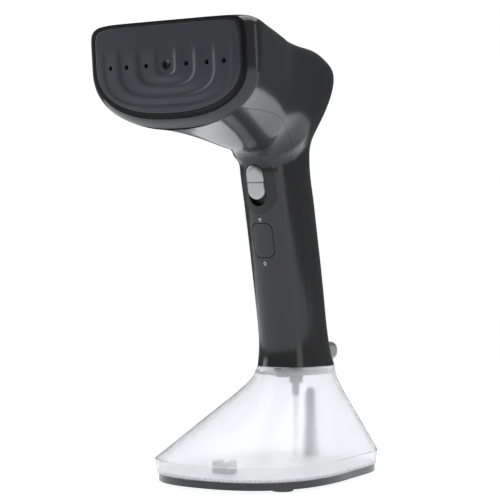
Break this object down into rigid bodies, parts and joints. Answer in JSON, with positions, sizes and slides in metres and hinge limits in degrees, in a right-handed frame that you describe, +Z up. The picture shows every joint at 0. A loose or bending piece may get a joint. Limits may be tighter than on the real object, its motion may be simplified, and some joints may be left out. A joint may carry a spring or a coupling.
{
  "type": "garment steamer",
  "caption": "Handheld garment steamer with a D-shaped steam plate, a leaning grip with trigger and mode rocker, standing on its frosted water tank.",
  "frame": {"origin": "on the floor under the middle of the machine's bounding box", "axes": "+Z up, the steam plate faces -Y, X sideways"},
  "size_m": [0.1268, 0.1855, 0.289],
  "materials": {
    "black_plastic": "matt black",
    "board_green": "solder mask",
    "cast_aluminium": "as cast",
    "copper_coil": "enamelled winding under tape",
    "dark_trim": "glossy near-black",
    "foot_rubber": "soft rubber",
    "graphite_shell": "glossy graphite",
    "grey_silicone": "translucent silicone",
    "icon_white": "clear white",
    "plate_coat": "satin blue-grey ceramic coat",
    "red_silicone": "silicone",
    "silver_plastic": "satin silver paint",
    "steel": "bright",
    "tank_frost": "frosted translucent",
    "tank_grey": "grey",
    "white_plastic": "white nylon"
  },
  "bodies": {
    "base": {"tank_shell": "tank_frost", "tank_deck": "tank_frost", "tank_floor": "tank_frost", "base_ring": "dark_trim", "rubber_feet": "foot_rubber", "outlet_valve": "tank_grey", "valve_spring": "steel", "suction_tube": "tank_frost", "filler_stopper": "tank_grey", "stopper_tab": "black_plastic", "vent_pillar": "tank_grey", "snap_block": "black_plastic"},
    "handset": {"bottom_cap": "black_plastic", "button_bracket": "black_plastic", "button_spring": "steel", "chamber_cover": "cast_aluminium", "chamber_frame": "black_plastic", "chamber_gasket": "red_silicone", "chamber_screws": "steel", "control_board": "board_green", "cord_bush": "black_plastic", "front_shell": "graphite_shell", "grip_screws": "steel", "head_collar": "graphite_shell", "heater_leads": "red_silicone", "heating_element": "steel", "icon_lenses": "icon_white", "lower_hose": "grey_silicone", "microswitch": "black_plastic", "nipple_seal": "grey_silicone", "pump_bracket": "steel", "pump_coil": "copper_coil", "pump_inlet": "white_plastic", "pump_spring": "steel", "pump_tube": "white_plastic", "rear_shell": "graphite_shell", "rocker_switches": "black_plastic", "soleplate": "plate_coat", "soleplate_bezel": "dark_trim", "steam_chamber": "cast_aluminium", "tank_connector": "white_plastic", "thermal_fuse": "steel", "thermostat": "steel", "top_cover": "graphite_shell", "trigger_bezel": "dark_trim", "trigger_springs": "steel", "underside_plug": "graphite_shell", "upper_hose": "grey_silicone", "water_inlet": "steel"},
    "valve_poppet": {"valve_poppet": "tank_grey"},
    "trigger_carrier": {"trigger_carrier": "white_plastic"},
    "trigger": {"trigger": "silver_plastic"},
    "mode_rocker": {"mode_rocker": "graphite_shell"},
    "release_button": {"release_button": "silver_plastic"},
    "pump_plunger": {"pump_plunger": "steel"}
  },
  "joints": [
    {"name": "lift_off", "type": "slide", "parent": "base", "child": "handset", "axis": [0, 0, 1], "range_m": [0, 0.08]},
    {"name": "trigger_press", "type": "slide", "parent": "handset", "child": "trigger_carrier", "axis": [0, 0.9767, 0.2146], "range_m": [0, 0.0022], "stiffness_N_per_m": 900, "springref_m": -0.001},
    {"name": "trigger_lock", "type": "slide", "parent": "trigger_carrier", "child": "trigger", "axis": [0, 0.2146, -0.9767], "range_m": [0, 0.004]},
    {"name": "mode_rocker", "type": "hinge", "parent": "handset", "child": "mode_rocker", "pos_m": [0, 0.01944, 0.15679], "axis": [1, 0, 0], "range_deg": [-3, 3], "stiffness_Nm_per_rad": 0.2},
    {"name": "release_press", "type": "slide", "parent": "handset", "child": "release_button", "axis": [0, -1, 0], "range_m": [0, 0.0024], "stiffness_N_per_m": 1200, "springref_m": -0.001},
    {"name": "pump_stroke", "type": "slide", "parent": "handset", "child": "pump_plunger", "axis": [0, -0.1847, 0.9828], "range_m": [0, 0.003], "stiffness_N_per_m": 300, "springref_m": -0.0008},
    {"name": "tank_valve", "type": "slide", "parent": "base", "child": "valve_poppet", "axis": [0, 0, -1], "range_m": [0, 0.0022], "stiffness_N_per_m": 200, "springref_m": -0.0006}
  ]
}
